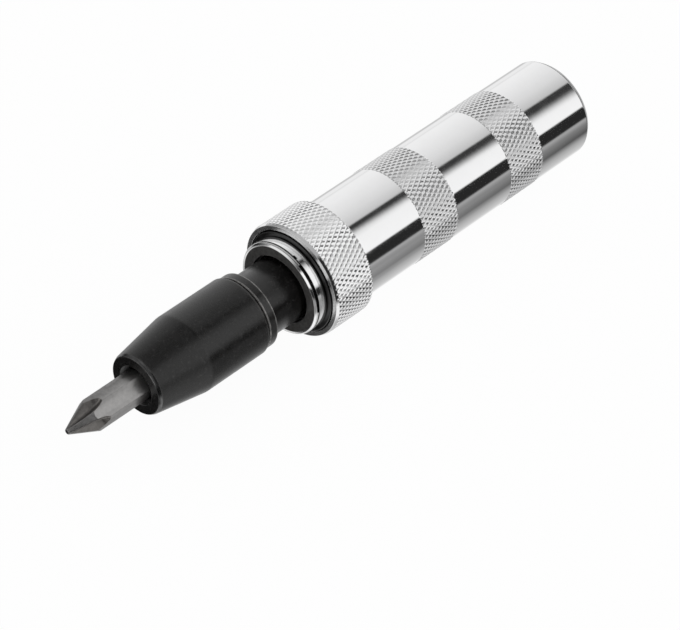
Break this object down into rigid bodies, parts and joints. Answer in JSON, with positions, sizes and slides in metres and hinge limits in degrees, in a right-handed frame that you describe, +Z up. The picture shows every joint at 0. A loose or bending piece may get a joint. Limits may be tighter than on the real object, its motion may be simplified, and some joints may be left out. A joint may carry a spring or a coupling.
{
  "type": "hand impact driver",
  "caption": "Hand impact driver: chromed knurled barrel with selector collar, sprung cam spindle with square drive, tapered bit holder and cross-tip bit.",
  "frame": {"origin": "centre of the flat striking face at the rear end of the handle", "axes": "+X along the tool's axis towards the bit's tip, +Z up with the tool lying on its side, +Y to the side"},
  "size_m": [0.1893, 0.0344, 0.0344],
  "materials": {
    "chrome_plated_steel": "polished chrome plate, fine diamond knurl in bands",
    "turned_steel": "bare turned steel",
    "black_oxide_steel": "black oxide, satin",
    "satin_tool_steel": "fine blasted grey",
    "spring_steel": "oil tempered",
    "polished_steel": "polished",
    "nitrile_rubber": "matt black"
  },
  "bodies": {
    "handle_body": {"handle": "chrome_plated_steel", "nose_bush": "chrome_plated_steel", "nose_wire_ring": "polished_steel", "collar_stop_ring": "turned_steel", "collar_o_ring": "nitrile_rubber", "spindle_seal": "nitrile_rubber", "rear_washer": "turned_steel", "main_spring": "spring_steel"},
    "selector": {"selector_collar": "chrome_plated_steel", "cam_sleeve": "turned_steel", "selector_key_1": "turned_steel", "selector_key_2": "turned_steel"},
    "spring_carriage": {"spring_seat": "turned_steel", "thrust_washer": "turned_steel"},
    "spindle_body": {"spindle": "black_oxide_steel", "cam_pin": "polished_steel", "detent_ring": "turned_steel", "detent_spring": "spring_steel"},
    "ball": {"detent_ball": "polished_steel"},
    "holder": {"bit_holder": "black_oxide_steel", "bit_clip": "spring_steel"},
    "bit_body": {"bit": "satin_tool_steel"}
  },
  "joints": [
    {"name": "direction_select", "type": "hinge", "parent": "handle_body", "child": "selector", "pos_m": [0.1, 0, 0], "axis": [1, 0, 0], "range_deg": [-6, 6]},
    {"name": "strike", "type": "slide", "parent": "handle_body", "child": "spring_carriage", "axis": [-1, 0, 0], "range_m": [0, 0.008], "stiffness_N_per_m": 4000, "springref_m": -0.005, "deforming": ["main_spring"]},
    {"name": "cam_turn", "type": "hinge", "parent": "spring_carriage", "child": "spindle_body", "pos_m": [0.072, 0, 0], "axis": [1, 0, 0], "range_deg": [0, 32]},
    {"name": "detent_press", "type": "slide", "parent": "spindle_body", "child": "ball", "axis": [0, -0.5592, -0.829], "range_m": [0, 0.00115], "stiffness_N_per_m": 1500, "springref_m": -0.001, "deforming": ["detent_spring"]},
    {"name": "holder_pull", "type": "slide", "parent": "spindle_body", "child": "holder", "axis": [1, 0, 0], "range_m": [0, 0.018]},
    {"name": "bit_pull", "type": "slide", "parent": "holder", "child": "bit_body", "axis": [1, 0, 0], "range_m": [0, 0.014]}
  ],
  "couplings": [
    {"joint": "cam_turn", "follows": "strike", "rad_per_m": 69.81}
  ]
}
